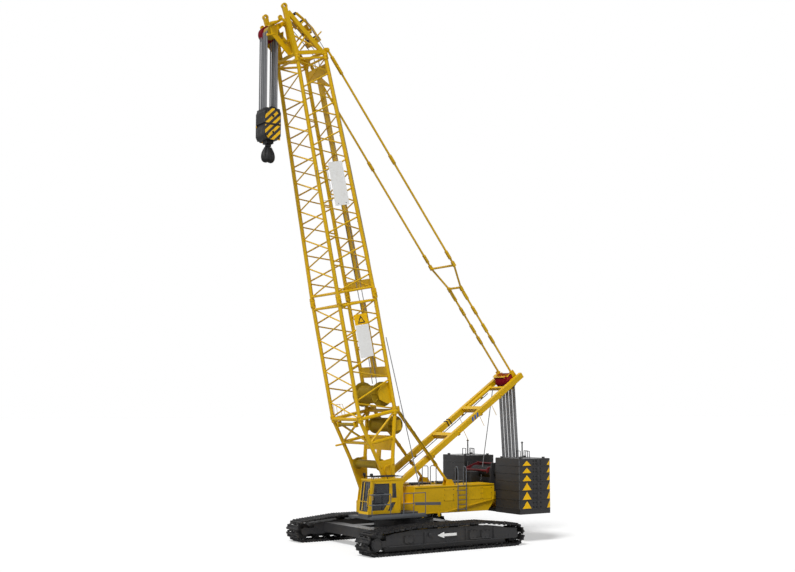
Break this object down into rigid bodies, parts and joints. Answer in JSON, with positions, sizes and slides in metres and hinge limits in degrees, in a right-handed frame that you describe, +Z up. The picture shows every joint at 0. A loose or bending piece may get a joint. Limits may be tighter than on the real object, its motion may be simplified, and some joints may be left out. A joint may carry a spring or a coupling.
{
  "type": "crawler crane with lattice boom",
  "caption": "Crawler crane: tracked undercarriage, slewing superstructure with cab and counterweight stacks, luffing lattice boom with mast, pendants, backstops and hook block.",
  "frame": {"origin": "on the ground, under the centre of the bounding box", "axes": "+X forward, towards the boom head; +Y to the cab side; +Z up"},
  "size_m": [15.6954, 8.132, 26.8175],
  "materials": {
    "yellow_paint": "satin golden yellow paint",
    "charcoal_paint": "satin charcoal paint",
    "black_steel": "dark bare and painted steel",
    "grey_steel": "grey walkway steel",
    "wire_rope": "greased wire rope",
    "red_paint": "dark red paint",
    "tinted_glass": "dark tinted glass",
    "seat_cloth": "dark seat cloth"
  },
  "bodies": {
    "undercarriage": {"carbody": "charcoal_paint", "slewing_ring": "black_steel", "crawler_frame_l": "charcoal_paint", "crawler_frame_r": "charcoal_paint", "track_l": "black_steel", "track_r": "black_steel", "idler_l": "charcoal_paint", "idler_r": "charcoal_paint", "sprocket_l": "charcoal_paint", "sprocket_r": "charcoal_paint", "roller_set_l": "black_steel", "roller_set_r": "black_steel", "travel_drive_l": "charcoal_paint", "travel_drive_r": "charcoal_paint"},
    "superstructure": {"superstructure_frame": "yellow_paint", "machinery_house_l": "yellow_paint", "machinery_house_r": "yellow_paint", "engine_block": "black_steel", "counterweight_tray": "charcoal_paint", "counterweight_stack_l": "charcoal_paint", "counterweight_stack_r": "charcoal_paint", "luffing_winch_frame": "charcoal_paint", "luffing_winch": "charcoal_paint", "cab_platform": "grey_steel", "cab_shell": "yellow_paint", "cab_side_frame": "yellow_paint", "cab_roof": "yellow_paint", "windscreen_glass": "tinted_glass", "quarter_glass": "tinted_glass", "far_side_glass": "tinted_glass", "rear_glass": "tinted_glass", "operator_seat": "seat_cloth"},
    "cab_door": {"cab_door": "yellow_paint", "door_glass": "tinted_glass"},
    "boom": {"boom_foot": "yellow_paint", "boom_base_side_l": "yellow_paint", "boom_base_side_r": "yellow_paint", "boom_base_front": "yellow_paint", "boom_base_rear": "yellow_paint", "boom_top_side_l": "yellow_paint", "boom_top_side_r": "yellow_paint", "boom_top_front": "yellow_paint", "boom_top_rear": "yellow_paint", "boom_head": "yellow_paint", "head_sheaves": "red_paint", "hoist_winch_upper": "yellow_paint", "hoist_winch_middle": "yellow_paint", "hoist_winch_lower": "yellow_paint"},
    "mast": {"mast_frame": "yellow_paint", "mast_sheaves": "red_paint"},
    "pendants": {"pendant_upper_l": "yellow_paint", "pendant_upper_r": "yellow_paint", "pendant_spreader": "yellow_paint", "pendant_lower_l": "yellow_paint", "pendant_lower_r": "yellow_paint"},
    "backstops": {"backstop_l": "yellow_paint", "backstop_r": "yellow_paint"},
    "hook_block": {"hoist_ropes": "wire_rope", "hook_block": "black_steel"},
    "hook": {"hook": "black_steel"}
  },
  "joints": [
    {"name": "slew", "type": "hinge", "parent": "undercarriage", "child": "superstructure", "pos_m": [-0.60181, 0, 1.4], "axis": [0, 0, 1], "continuous": true},
    {"name": "cab_door_hinge", "type": "hinge", "parent": "superstructure", "child": "cab_door", "pos_m": [1.81819, 2.544, 2.6], "axis": [0, 0, 1], "range_deg": [0, 100]},
    {"name": "boom_luff", "type": "hinge", "parent": "superstructure", "child": "boom", "pos_m": [1.03119, 0, 2.773], "axis": [0, -1, 0], "range_deg": [-78, 7]},
    {"name": "mast_luff", "type": "hinge", "parent": "superstructure", "child": "mast", "pos_m": [0.34819, 0, 3.05], "axis": [0, -1, 0], "range_deg": [-82, 7.45]},
    {"name": "pendant_pivot", "type": "hinge", "parent": "boom", "child": "pendants", "pos_m": [4.66519, 0, 24.863], "axis": [0, -1, 0], "range_deg": [-0.28, 2.05]},
    {"name": "backstop_fold", "type": "hinge", "parent": "boom", "child": "backstops", "pos_m": [0.57858, 0, 6.88446], "axis": [0, 1, 0], "range_deg": [0, 7]},
    {"name": "rope_hang", "type": "hinge", "parent": "boom", "child": "hook_block", "pos_m": [7.40775, 0, 25.48654], "axis": [0, -1, 0], "range_deg": [-7, 78]},
    {"name": "hook_swivel", "type": "hinge", "parent": "hook_block", "child": "hook", "pos_m": [7.40775, 0, 19.8], "axis": [0, 0, 1], "continuous": true}
  ],
  "couplings": [
    {"joint": "mast_luff", "follows": "boom_luff", "ratio": 1.05},
    {"joint": "pendant_pivot", "follows": "boom_luff", "ratio": -0.025},
    {"joint": "rope_hang", "follows": "boom_luff", "ratio": -1}
  ]
}
